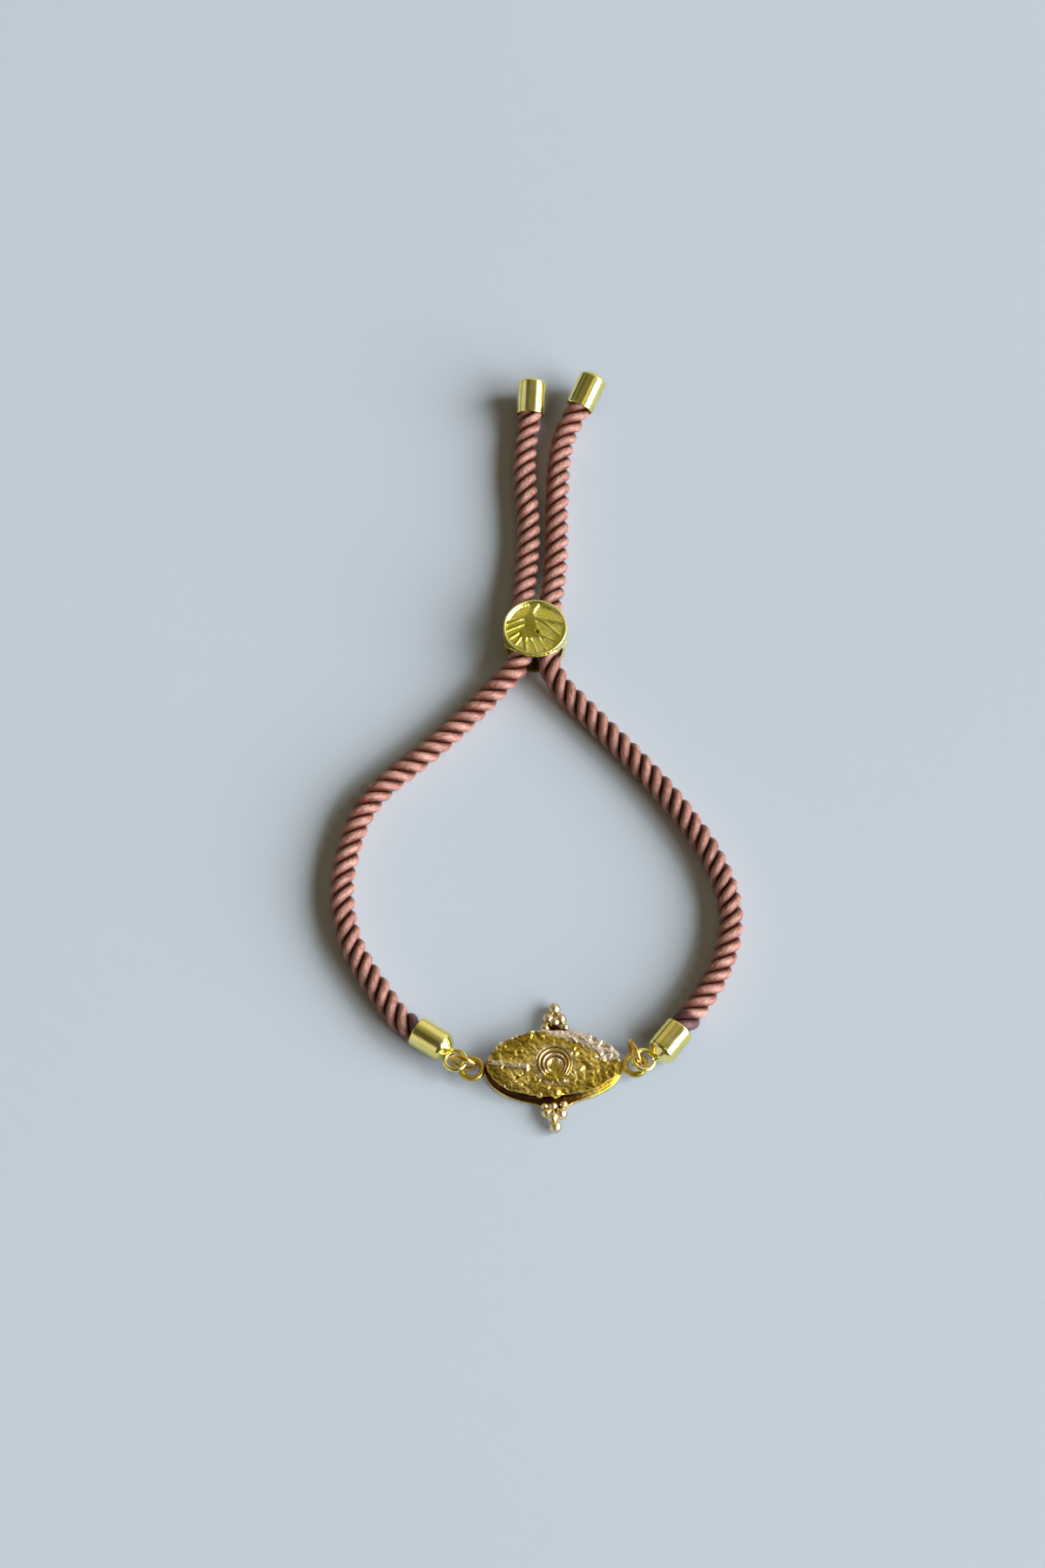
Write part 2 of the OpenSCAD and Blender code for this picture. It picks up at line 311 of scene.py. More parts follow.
# Twisted strands as one skin: across a strand, t runs from -90 to 90 degrees, the angle round the
# rope goes with sin t and the radius with cos t, so that the strands meet in sharp grooves. The
# section turns by one strand each time the strand count grows by one.
def ropeSkin(route, strandCounts, lean):
    line, along = smoothRoute(route, rope["step"])
    ahead = unit(np.gradient(line, axis=0))
    side = unit(np.cross(ahead, [0, 0, 1.0]))
    above = np.cross(side, ahead)
    t = (np.arange(rope["across"]) / rope["across"] - 0.5) * np.pi
    strand = 2 * np.pi / rope["strands"]
    angle = np.concatenate([strand * (k + 0.5 * np.sin(t)) for k in range(rope["strands"])])
    crest = np.tile(np.cos(t) ** rope["fullness"], rope["strands"])
    count = np.interp(along, *np.array(strandCounts, float).T)[:, None]
    turn = angle[None, :] - strand * count
    radius = (rope["groove"] + (rope["outer"] - rope["groove"]) * crest)[None, :] + 0 * turn
    grid = (line[:, None] + (radius * np.cos(turn))[..., None] * side[:, None]
        + (radius * np.sin(turn))[..., None] * above[:, None])
    fibre = turn + rope["fibreTurn"] * along[:, None]
    straight = np.stack([radius * np.cos(fibre), along[:, None] + 0 * fibre, radius * np.sin(fibre)], -1)
    # The glued end is dark up to a strand, counted where that strand reaches the right-hand side,
    # and the dark leans further along the rope on its left
    upper = (turn + np.pi / 2) % (2 * np.pi) - np.pi / 2
    reached = count + upper / strand
    darkReach = rope["darkEnd"] + lean * np.clip((upper - 0.8) / 1.4, 0, 1)
    dark = np.clip((darkReach - reached) / rope["darkSoft"] + 0.5, 0, 1)
    depth = 1 - crest[None, :] + 0 * fibre
    padded = [np.concatenate([v[:1], v, v[-1:]]) for v in (straight, dark, depth)]
    values = {"straight": padded[0].reshape(-1, 3), "dark": padded[1].ravel(), "depth": padded[2].ravel()}
    return closedSurface(grid), values, line


# Satin fibre: fine streaks and pale hairs along the rope on straightened coordinates, a painted
# highlight on the crests, painted shade towards the grooves, dull red and then dark in them, and
# dark glued strands at the lower cap
def satinRope(wire):
    straight = wire.node("Attribute", {"attribute_name": "straight"}, output=1)
    depth = wire.node("Attribute", {"attribute_name": "depth"}, output=2)
    dark = wire.node("Attribute", {"attribute_name": "dark"}, output=2)
    streaks = noise(wire, stretched(wire, fibres["streaks"], straight), 1.0, 3.0, 0.65)
    hairs = noise(wire, stretched(wire, fibres["hairs"], straight), 1.0, 1.0)
    clouds = noise(wire, stretched(wire, fibres["clouds"], straight), 1.0, 2.0)
    fine, broad = (streaks - 0.5) * fibres["streakTone"], (clouds - 0.5) * fibres["cloudTone"]
    # The tone pales with the fibre's streaks and clouds and towards the crests, a painted highlight;
    # towards the grooves the colour turns dull red and then dark, painted shade
    tone = (0.48 - depth * 1.5 + fine + broad).clamped()
    redShadeShare = ((depth - 0.06) * 2.2).clamped() * fibres["redShadeTone"]
    darkShare = (dark * (0.7 + streaks * 0.5)).clamped()
    hairShare = ((hairs - 0.58) * 5.0).clamped() * fibres["hairTone"]
    grooveShadeShare = ((depth - 0.34 + (streaks - 0.5) * 0.15) * 4.0).clamped()
    colour = blendColour(wire, tone, (*rope["lit"], 1), (*rope["pale"], 1))
    colour = blendColour(wire, redShadeShare, colour, (*rope["redShade"], 1))
    colour = blendColour(wire, darkShare, colour, (*rope["dark"], 1))
    colour = blendColour(wire, hairShare, colour, (*rope["pale"], 1))
    colour = blendColour(wire, grooveShadeShare, colour, (*rope["deep"], 1))
    return {"Base Color": colour, "Normal": bump(wire, streaks + hairs, fibres["bump"])}


ropeFinish = newFinish("satinRope", {"Roughness": 0.32, "Sheen Weight": 0.03, "Sheen Roughness": 0.4,
    "Sheen Tint": (1.0, 0.74, 0.64, 1), "Specular IOR Level": 0.75,
    "Specular Tint": (1.0, 0.76, 0.68, 1)}, satinRope)

cords = {}
for name, route, counts, lean in (
        ("left", leftRoute, leftStrands, 0.0), ("right", rightRoute, rightStrands, rope["lean"])):
    skin, values, line = ropeSkin(route, counts, lean)
    piece = makePiece("strands_" + name, [skin], ropeFinish, "rope_" + name, "rope_cord", values, 80.0)
    cords[name] = (piece, line * mm)


# Metals: plated gold in several tones, with slight unevenness in colour, roughness and surface.
# patch and grain are the scales of the broad and the fine unevenness, bump its height in
# millimetres and rough the range of the roughness. The cast and the carved piece also have a
# darker painted shade and a pale painted glint, from their attributes.
wireGold = {"light": (0.95, 0.67, 0.20), "low": (0.68, 0.44, 0.075), "patch": 0.5, "grain": 3.0,
    "bump": 0.02, "rough": (0.08, 0.22)}
capGold = {"light": (1.0, 0.92, 0.40), "low": (0.88, 0.78, 0.24), "patch": 0.5, "grain": 2.5,
    "bump": 0.008, "rough": (0.06, 0.20)}
castGold = {"light": (0.96, 0.73, 0.215), "low": (0.54, 0.385, 0.05), "patch": 0.3, "grain": 5.0,
    "bump": 0.045, "rough": (0.10, 0.32), "paintedShade": (0.13, 0.050, 0.012), "glint": (1.0, 0.88, 0.78)}
carvedGold = {"light": (0.96, 0.90, 0.25), "low": (0.78, 0.70, 0.105), "patch": 0.5, "grain": 5.0,
    "bump": 0.02, "rough": (0.18, 0.36), "paintedShade": (0.33, 0.29, 0.02), "glint": (1.0, 0.98, 0.58)}


def platedGold(name, tones):
    def changing(wire):
        place = stretched(wire, (1 / mm, 1 / mm, 1 / mm))
        patches = noise(wire, place, tones["patch"], 3.0)
        fine = noise(wire, place, tones["grain"], 3.0, 0.6)
        share = ((patches - 0.4) * 3.0).clamped()
        colour = blendColour(wire, share, (*tones["low"], 1), (*tones["light"], 1))
        # Painted shade darkens the colour, and a pale painted glint, in specks that fill in where it is
        # strong, lightens it
        if "paintedShade" in tones:
            paintedShade = wire.node("Attribute", {"attribute_name": "paintedShade"}, output=2)
            glint = wire.node("Attribute", {"attribute_name": "glint"}, output=2)
            glintSpecks = ((fine - 0.5) * 7.0 + glint * 2.0 - 0.7).clamped() * glint.clamped()
            colour = blendColour(wire, paintedShade.clamped(), colour, (*tones["paintedShade"], 1))
            colour = blendColour(wire, glintSpecks, colour, (*tones["glint"], 1))
        smooth, rough = tones["rough"]
        return {"Base Color": colour, "Roughness": smooth + fine * (rough - smooth),
            "Normal": bump(wire, fine + patches, tones["bump"])}
    return newFinish(name, {"Metallic": 1.0}, changing)


ringFinish = platedGold("warmGoldWire", wireGold)
castFinish = platedGold("warmGoldCast", castGold)
capFinish = platedGold("paleGoldCap", capGold)
sliderFinish = platedGold("lemonGoldCarved", carvedGold)


# Upper caps: cups that tilt up at the ends of the tails. left and right give the place and the
# turn.
upperCap = {"radius": 1.9, "length": 4.8, "wall": 0.2, "depth": 4.0, "bevel": 0.4, "height": 2.2,
    "rise": 15.0, "left": (-0.55, 46.97, 86.6), "right": (5.91, 48.16, 64.2)}


# The direction of a turn about Z and a rise, both in degrees: (cos t cos r, sin t cos r, sin r)
def direction(turn, rise=0.0):
    turn, rise = np.radians(turn), np.radians(rise)
    return np.array([np.cos(turn) * np.cos(rise), np.sin(turn) * np.cos(rise), np.sin(rise)])


for name in ("left", "right"):
    x, y, turn = upperCap[name]
    r, length, bevel = upperCap["radius"], upperCap["length"], upperCap["bevel"]
    bore = r - upperCap["wall"]
    profile = softProfile([(0.02, upperCap["depth"]), (bore, upperCap["depth"]), (bore, 0), (r, 0),
        (r, length - bevel), (r - bevel, length), (0.02, length)], 0.1)
    along, across = direction(turn, upperCap["rise"]), direction(turn, upperCap["rise"] + 90)
    cup = turned(refined(profile, 0.3), (x, y, upperCap["height"]), along, across)
    cap = makePiece("tail_cup_" + name, [closedSurface(cup)], capFinish, "upper_cap_" + name, "bright_gold")
    cord, line = cords[name]


# Connector, in its own millimetres: X along the plate, Z up
plate = {"at": (2.1, -45.0, 0.0), "turn": 1.5, "length": 16.5, "width": 9.0, "slimming": 0.05,
    "top": 2.4, "flange": 0.52, "edgeInset": 0.34, "edgeShift": 0.12, "around": 400, "faceRings": 90,
    "webReach": 1.2, "webWide": 1.5, "domeLong": 8.2, "domeWide": 4.5, "domeFall": 0.13,
    "edgeFall": 0.10, "dent": 0.05}
# Waves of the face's edge: depth, number round the plate and phase
edgeWaves = [(0.05, 9, 1), (0.045, 17, 0), (0.03, 31, 2)]
loopEnd = {"x": 9.68, "z": 1.2, "radius": 1.24, "wire": 0.76}
# Grains: place, height and radius
grains = [(0.30, 7.45, 0.88, 0.77), (-0.46, 6.22, 0.84, 0.76), (1.0, 6.16, 0.84, 0.75),
    (0.28, 5.72, 0.95, 0.68), (-0.9, 5.1, 0.75, 0.62), (1.42, 5.1, 0.75, 0.6),
    (-0.05, -7.41, 0.86, 0.77), (-0.28, -6.24, 0.98, 0.72), (-0.98, -5.7, 0.82, 0.70),
    (0.72, -5.8, 0.86, 0.74), (-0.23, -4.85, 0.9, 0.6), (1.01, -4.6, 0.9, 0.5), (-1.2, -4.75, 0.75, 0.5)]
# Bosses on the front edge: place, height and radius
bosses = [(0.12, -3.58, 2.1, 0.76), (-1.75, -3.75, 1.9, 0.42)]
crescent = {"outer": 2.22, "inner": 0.64, "aside": 0.2, "drop": 0.45, "reach": 142.0, "height": 0.66,
    "dome": 0.55, "ridge": 0.33, "ridges": 3.5, "sections": 120, "across": 56}
# Rays of the face: from (x, y) to (x, y), height
rays = [((-7.9, 0.55), (-2.4, -0.35), 0.05), ((-7.8, 0.15), (-2.6, -0.75), 0.05),
    ((-2.95, 2.57), (-2.1, 1.65), 0.06), ((0, 3.4), (0, 2.35), 0.05), ((1.3, 3.0), (1.0, 2.3), 0.04),
    ((5.5, 2.4), (1.75, 1.85), 0.05), ((2.5, 0.6), (7.57, 1.0), 0.05), ((2.5, 0.25), (7.5, -0.2), 0.04),
    ((-3.2, -1.9), (-1.8, -1.6), 0.05), ((2.9, -2.3), (1.9, -1.4), 0.05)]
rayWidth = 0.15
# Crumples of the face: cell size, tilt, rise and seed
crumples = [(1.1, 0.075, 0.025, 3), (0.45, 0.17, 0.010, 4)]
# Painted tones of the casting: how dark the painted shade of its low places and grooves is, how much
# of its wall's painted shade is left out at the right end, and how strong the painted glint on the
# flange, the left rays, the face round the crescent and the grains is
castTones = {"low": 0.6, "grooves": 0.28, "brightEnd": 0.9, "flange": 0.6, "rays": 0.9,
    "roundCrescent": 0.7, "grains": 0.68}


# Crumpled foil: each seed lays a small tilted plane, and a point takes the mean of the planes
# around it with weights exp(-distance^2 / reach^2)
def crumple(x, y, cell, tilt, rise, seed):
    draw = np.random.default_rng(seed)
    halfX, halfY = plate["length"] / 2, plate["width"] / 2
    count = int(4 * halfX * halfY / cell ** 2)
    seeds = draw.uniform(-1, 1, (count, 2)) * [halfX, halfY]
    slopes = draw.normal(0, tilt, (count, 2))
    lifts = draw.normal(0, rise, count)
    reach = 0.42 * cell
    total, weights = np.zeros_like(x), np.full_like(x, 1e-12)
    for (sx, sy), (gx, gy), lift in zip(seeds, slopes, lifts):
        dx, dy = x - sx, y - sy
        w = np.exp(-(dx ** 2 + dy ** 2) / reach ** 2)
        total += w * (lift + gx * dx + gy * dy)
        weights += w
    return total / weights


# Height of the face: a low dome of the second and fourth power of the share of the way to its edge
# + two sizes of crumple, calmer near the crescent + rays, each a ridge exp(-distance^2 / width^2)
def faceHeight(x, y):
    q = (x / plate["domeLong"]) ** 2 + (y / plate["domeWide"]) ** 2
    z = plate["top"] - plate["domeFall"] * q - plate["edgeFall"] * q ** 2
    calm = 1 - 0.6 * np.exp(-((x ** 2 + y ** 2) / 8.5) ** 2)
    z = z + calm * sum(crumple(x, y, *sizes) for sizes in crumples)
    for (x0, y0), (x1, y1), height in rays:
        dx, dy = x1 - x0, y1 - y0
        t = np.clip(((x - x0) * dx + (y - y0) * dy) / (dx * dx + dy * dy), 0, 1)
        away = (x - x0 - t * dx) ** 2 + (y - y0 - t * dy) ** 2
        z = z + height * np.exp(-away / rayWidth ** 2)
    return z


# Plate: face rings from the middle to its edge, then a soft edge, a steep wall, a thin flange and
# the flat underside. The outline is (L/2 cos a, W/2 sin a (1 - slimming cos a)) less an inset, and
# at the flange it swells by webReach exp(-(x / webWide)^2) to carry the grains.
def plateSkin():
    a = np.linspace(0, 2 * np.pi, plate["around"], endpoint=False)[None]
    wobble = sum(depth * np.sin(number * a + phase) for depth, number, phase in edgeWaves)
    edge = plate["edgeInset"] - plate["edgeShift"] * np.sin(a)

    def outline(inset, low):
        x = (plate["length"] / 2 - inset) * np.cos(a)
        y = (plate["width"] / 2 - inset) * np.sin(a) * (1 - plate["slimming"] * np.cos(a))
        return x, y + low * np.sign(y) * plate["webReach"] * np.exp(-(x / plate["webWide"]) ** 2)

    share = (np.arange(1, plate["faceRings"] + 1) / plate["faceRings"])[:, None]
    edgeX, edgeY = outline(edge + wobble, 0.0)
    faceX, faceY = share * edgeX, share * edgeY
    face = np.stack([faceX, faceY, faceHeight(faceX, faceY)], -1)
    top, flange = plate["top"], plate["flange"]
    # Across the wall, which is slightly hollow: the share of the edge's inset, and the height
    wall = softProfile([(1.0, top), (0.95, top - 0.12), (1.15, top - 0.5), (1.4, flange + 0.6),
        (1.2, flange + 0.16), (0.25, flange), (0.0, flange - 0.14), (0.0, 0.12), (0.5, 0.0),
        (4.0, 0.0)], 0.12)
    wall = refined(wall, 0.15)[1:]
    part, z = wall[:, :1], wall[:, 1:]
    rough = np.clip((z - flange) / (top - flange), 0, 1)
    low = np.clip((flange + 0.3 - z) / 0.3, 0, 1)
    x, y = outline(part * edge + wobble * rough, low)
    dents = plate["dent"] * np.sin(23 * a + 3 * z) * np.sin(41 * a - 2 * z) * rough * (1 - rough) * 4
    # The wall is painted dark, a painted reflection of the shaded floor in front, except at the right
    # end, and the flange's edge has a thin painted highlight
    degree = np.degrees(a)
    around = degree + 360 * (degree < 90)
    shade = 1 - castTones["brightEnd"] * smoothStep(around, 285, 310) * smoothStep(-around, -400, -370)
    paintedShade = shade * smoothStep(part, 0.12, 0.5) * smoothStep(top - z, 0.04, 0.3) * (z > 0.3)
    flangeGlint = castTones["flange"] * smoothStep(-part, -0.3, -0.1) * (z > 0.25) + 0 * paintedShade
    z = z + rough ** 3 * (face[-1, :, 2] - top)[None]
    # The face has a pale painted glint along its edge from the right end round to the left end, along
    # the left rays and round the crescent, and painted shade where it is low
    near = 0.60 + 0.29 * smoothStep(degree, 65, 115)
    glint = smoothStep(share, near, near + 0.16) * smoothStep(degree, -5, 12)
    glint = glint * smoothStep(-degree, -186, -172)
    ray = np.abs(faceY + 0.16 * faceX + 0.87) / 0.42
    glint = np.maximum(glint, castTones["rays"] * np.exp(-ray ** 2) * smoothStep(-faceX, 2.3, 3.2))
    past = (np.hypot(faceX - 0.1, faceY + 0.1) - 2.45) / 0.3
    glint = np.maximum(glint, castTones["roundCrescent"] * np.exp(-past ** 2))
    low = np.clip((face[..., 2].mean() - face[..., 2]) / 0.30 - 0.05, 0, castTones["low"]) * (share < 0.97)
    values = [np.concatenate([v[:1], v, v[-1:]]).ravel() for v in (
        np.concatenate([low, paintedShade]), np.concatenate([glint, flangeGlint]))]
    wallPoints = np.stack([x + dents * np.cos(a), y + dents * np.sin(a), z], -1)
    return closedSurface(np.concatenate([face, wallPoints])), values


# Crescent: sections between an outer circle and a smaller one set aside and dropped towards -Y.
# Across a section q runs from 0 inside to 1 outside, and the height is a low dome with ridges,
# dome sqrt(sin(pi q)) - ridge cos(2 pi ridges q) sin(pi q)^0.3. The horns sink into the plate at
# their tips.
def crescentSkin():
    u = np.radians(np.linspace(-crescent["reach"], crescent["reach"], crescent["sections"]))[:, None, None]
    q = np.linspace(0, 1, crescent["across"])
    ring = np.concatenate([np.sin(u), np.cos(u)], -1)
    outer = ring * crescent["outer"]
    inner = ring * crescent["inner"] + [crescent["aside"], -crescent["drop"]]
    top = inner + (outer - inner) * q[None, :, None]
    ripple = np.cos(2 * np.pi * crescent["ridges"] * q + np.pi)
    across = np.sin(np.pi * q)
    rise = crescent["dome"] * np.sqrt(across) + crescent["ridge"] * ripple * across ** 0.3
    lift = np.clip((np.radians(crescent["reach"]) - np.abs(u)) / 0.35, 0, 1) ** 0.5
    z = plate["top"] - 0.12 + (crescent["height"] * rise[None, :, None] + 0.1) * lift
    z = z + 0 * top[..., :1]
    upper = np.concatenate([top, z], -1)
    lower = upper[:, ::-1].copy()
    lower[..., 2] = plate["top"] - 0.5
    # Pale painted glint inside, less so outwards, with painted shade in the grooves between the ridges
    grooves = castTones["grooves"] * np.clip(-ripple, 0, 1) * (q > 0.1)
    tones = [np.concatenate([tone, 0 * q])[None].repeat(len(upper) + 2, 0).ravel()
        for tone in (grooves, (1.0 - 0.35 * q) * (grooves < 0.15))]
    return closedSurface(np.concatenate([upper, lower], 1)), tones


def connectorSurfaces():
    skin, (paintedShade, glint) = plateSkin()
    arc, (grooves, crescentGlint) = crescentSkin()
    surfaces = [skin, arc]
    for side in (-1, 1):
        surfaces.append(closedSurface(wireRing((side * loopEnd["x"], 0, loopEnd["z"]), (0, 0, 1),
            loopEnd["radius"], loopEnd["wire"], ridges=0.05), ring=True))
    for x, y, z, radius in grains + bosses:
        surfaces.append(closedSurface(ball((x, y, z), radius)))
    # The grains have a pale painted glint, the loops and bosses have none
    loops, balls = (sum(len(surface[0]) for surface in part) for part in (surfaces[2:4], surfaces[4:]))
    shares = [castTones["grains"]] * len(grains) + [0.0] * len(bosses)
    paintedShade = np.concatenate([paintedShade, grooves, np.zeros(loops + balls)])
    glint = np.concatenate([glint, crescentGlint, np.zeros(loops), np.repeat(shares, balls // len(shares))])
    surfaces = [(placed(points, plate["turn"], plate["at"]), *faces) for points, *faces in surfaces]
    return surfaces, {"paintedShade": paintedShade, "glint": glint}


surfaces, values = connectorSurfaces()
makePiece("connector_cast", surfaces, castFinish, "connector", "warm_gold", values)


# Jump rings: plain wire standing on edge. left and right give the place and the turn of the axis.
jumpRing = {"radius": 1.42, "wire": 0.62, "height": 1.77,
    "left": (-8.65, -44.75, 74.8), "right": (11.7, -43.45, 23.0)}
for name in ("left", "right"):
    x, y, turn = jumpRing[name]
    ring = wireRing((x, y, jumpRing["height"]), direction(turn), jumpRing["radius"], jumpRing["wire"])
    makePiece("jump_wire_" + name, [closedSurface(ring, ring=True)], ringFinish, "jump_ring_" + name,
        "warm_gold")


# Lower caps: cups with a bevelled end, a short neck and a loop. left and right give the place, the
# cup's turn and the loop's turn.
lowerCap = {"radius": 1.85, "length": 3.8, "dome": 0.9, "bevel": 0.95, "wall": 0.2, "depth": 3.4,
    "neck": [(0.45, -0.5), (0.45, 0.0), (0.38, 0.3), (0.4, 0.5)], "loop": 1.25, "wire": 0.6,
    "reach": 1.5, "rise": 9.5,
    "left": (-14.2, -40.7, -32.5, -63.0), "right": (17.1, -40.45, -128.7, -165.0)}
for name in ("left", "right"):
    x, y, turn, loopTurn = lowerCap[name]
    r, length, dome = lowerCap["radius"], lowerCap["length"], lowerCap["dome"]
    bore = r - lowerCap["wall"]
    profile = softProfile([(0.02, lowerCap["depth"]), (bore, lowerCap["depth"]), (bore, 0), (r, 0),
        (r, length - 0.12), (r - 0.12, length + 0.18), (r - lowerCap["bevel"], length + dome),
        (0.02, length + dome)], 0.16)
    barrel = turned(refined(profile, 0.3), (x, y, r), direction(turn), (0, 0, 1))
    end = np.array([x, y, r]) + (length + dome) * direction(turn)
    outward = direction(loopTurn, lowerCap["rise"])
    level = np.cross([0, 0, 1.0], outward)
    neck = turned(np.array(lowerCap["neck"]), end, outward, level, count=32)
    eye = wireRing(end + lowerCap["reach"] * outward, np.cross(outward, level), lowerCap["loop"],
        lowerCap["wire"])
    surfaces = [closedSurface(barrel), closedSurface(neck), closedSurface(eye, ring=True)]
    makePiece("looped_cup_" + name, surfaces, capFinish, "lower_cap_" + name, "bright_gold")


# Slider: two halves that meet at the slot's middle, with a carved face
slider = {"at": (0.0, 13.2, 0.0), "radius": 4.05, "height": 4.5, "slotWide": 7.1, "slotHigh": 3.5,
    "rim": 0.34, "sunk": 0.15, "panelDepth": 0.17, "hatch": 0.022, "hatchStep": 0.25,
    "hole": (0.25, -0.6), "holeDepth": 0.3, "edge": 0.06, "slotSkin": 0.03, "beads": 40,
    "beadDepth": 0.07, "trunkAt": (-0.55, 0.2), "trunkWide": 0.75, "trunkLong": 1.9}
# Painted tones of the carving: how dark the painted shade of its field, trunk, rim's groove and of the
# field and bevels between the left panels is, and how strong the painted glint on its hatching, the
# panels' edges, the rim and the right side is
carvedTones = {"field": 0.6, "trunk": 0.25, "groove": 0.8, "leftField": 0.8, "leftBevels": 0.6,
    "hatching": 0.72, "panelEdges": 0.6, "rim": 0.95, "rightSide": 0.9}
# Sunk panels of the face: corners, the direction of the hatching's lines in degrees, and the
# bevel's width
panels = [
    ([(-3.62, 0.86), (-3.3, 1.65), (-2.6, 2.6), (-1.7, 3.25), (-0.7, 3.6), (-0.1, 3.6), (-0.5, 2.68),
        (-1.0, 1.95), (-2.2, 1.42)], 60, 0.24),
    ([(-3.6, 0.5), (-1.4, 1.35), (-1.22, 0.86), (-3.66, -0.2)], 25, 0.14),
    ([(-3.6, -0.48), (-1.3, 0.56), (-1.2, 0.06), (-3.3, -1.3)], 25, 0.14),
    ([(-3.15, -1.62), (-1.95, -0.72), (-1.85, -1.15), (-2.66, -2.25)], 40, 0.1),
    ([(-2.45, -2.5), (-1.68, -1.35), (-1.4, -1.75), (-1.3, -3.3)], 60, 0.12),
    ([(-0.95, -3.45), (-1.16, -1.9), (-1.0, -1.4), (-0.76, -1.5), (-0.15, -2.8), (0.0, -3.55)], 85, 0.12),
    ([(0.3, -3.5), (-0.08, -2.4), (-0.5, -1.5), (0.1, -1.35), (0.45, -1.8), (1.15, -2.9),
        (1.1, -3.4)], 115, 0.12),
    ([(1.55, -3.2), (0.8, -2.0), (0.62, -1.4), (1.2, -1.5), (2.4, -2.2), (2.3, -2.8)], 130, 0.12),
    ([(0.12, 1.1), (0.55, 0.88), (1.72, -0.05), (2.75, -1.3), (2.35, -1.72), (1.05, -0.97),
        (0.4, 0.04)], 140, 0.16),
    ([(1.4, 1.0), (2.5, 0.82), (3.58, 0.46), (3.4, -0.95), (3.0, -0.75), (2.05, 0.13)], 150, 0.16),
    ([(0.55, 3.55), (-0.1, 2.6), (-0.2, 2.15), (0.05, 1.72), (1.17, 1.36), (3.55, 0.85), (3.35, 1.5),
        (3.0, 2.1), (2.1, 2.85), (1.2, 3.15)], 80, 0.26)]


# Distance from the points to a polygon's nearest edge, positive inside. The foot on an edge from p
# to q lies at the share (point - p) . (q - p) / |q - p|^2 of it, kept between 0 and 1, and a point
# is inside when a line to its right crosses an odd number of edges.
def insideBy(x, y, corners):
    corners = np.array(corners, float)
    nearest, inside = np.full_like(x, 99.0), np.zeros(x.shape, bool)
    for (x0, y0), (x1, y1) in zip(corners, np.roll(corners, -1, 0)):
        dx, dy = x1 - x0, y1 - y0
        t = np.clip(((x - x0) * dx + (y - y0) * dy) / (dx * dx + dy * dy), 0, 1)
        nearest = np.minimum(nearest, np.hypot(x - x0 - t * dx, y - y0 - t * dy))
        crosses = (y0 > y) != (y1 > y)
        inside ^= crosses & (x < dx * (y - y0) / (dy if dy else 1e-9) + x0)
    return np.where(inside, nearest, -nearest)


# Height of the carved face: a rounded rim, a nearly flat field, sunk panels with bevelled edges,
# their hatching of fine dots a product of two cosines, and a small hole. Also its painted shade, on
# the field, the trunk, the rim's groove and the hole, and its painted glint, on the hatching, the
# panels' edges and the rim.
def carvedFace(x, y):
    r = np.hypot(x, y)
    field = slider["height"] - slider["sunk"]
    past = np.clip((slider["radius"] - r) / slider["rim"], 0, 1)
    z = field + slider["sunk"] * np.sin(np.pi * past) ** 0.7
    nearest, crests, sunk = np.full_like(x, -9.0), np.zeros_like(x), np.zeros_like(x)
    step = 2 * np.pi / slider["hatchStep"]
    for corners, lines, bevel in panels:
        inner = insideBy(x, y, corners)
        nearest = np.maximum(nearest, inner)
        sunk = np.maximum(sunk, smoothStep(inner, -0.06, bevel))
        a = np.radians(lines)
        dots = 0.6 + 0.4 * np.cos(0.8 * step * (x * np.cos(a) + y * np.sin(a)))
        wave = np.cos(step * (x * np.sin(a) - y * np.cos(a))) * dots
        within = smoothStep(inner, 0.06, 0.2)
        z = z + slider["hatch"] * wave * within
        crests = np.maximum(crests, np.clip(wave, 0, 1) * within)
    z = z - slider["panelDepth"] * sunk
    z = z + 0.02 * smoothStep(-nearest, 0.0, 0.25) * (past >= 1)
    hole = np.hypot(x - slider["hole"][0], y - slider["hole"][1])
    z = z - slider["holeDepth"] * smoothStep(-hole, -0.3, -0.16)
    z = z + 0.02 * np.exp(-((hole - 0.4) / 0.14) ** 2)
    trunkX, trunkY = slider["trunkAt"]
    trunk = np.exp(-((x - trunkX) / slider["trunkWide"]) ** 2 - ((y - trunkY) / slider["trunkLong"]) ** 2)
    paintedShade = carvedTones["field"] * smoothStep(-nearest, 0.0, 0.1) + carvedTones["trunk"] * trunk
    paintedShade = np.clip(paintedShade, 0, 1) * (nearest < 0.02) * (past >= 1)
    groove = slider["radius"] - slider["rim"] - 0.03
    paintedShade = np.maximum(paintedShade, carvedTones["groove"] * np.exp(-((groove - r) / 0.06) ** 2))
    paintedShade = np.maximum(paintedShade, smoothStep(-hole, -0.33, -0.2))
    edges = carvedTones["panelEdges"] * np.exp(-((nearest + 0.02) / 0.09) ** 2)
    glint = np.maximum(carvedTones["hatching"] * crests, edges) * (hole > 0.4)
    # The field and the bevels have more painted shade, and the bevels less painted glint, between the left
    # panels
    left = smoothStep(-x, 0.9, 1.7) * smoothStep(-y, -1.3, -0.9) * (past >= 1)
    bevelled = smoothStep(-np.abs(nearest - 0.07), -0.2, -0.08)
    darker = np.maximum(carvedTones["leftField"] * (nearest < 0.02), carvedTones["leftBevels"] * bevelled)
    paintedShade = np.maximum(paintedShade, left * darker)
    glint = glint * (1 - 0.7 * left * bevelled)
    glint = np.maximum(glint, carvedTones["rim"] * np.sin(np.pi * past))
    return z, paintedShade, glint


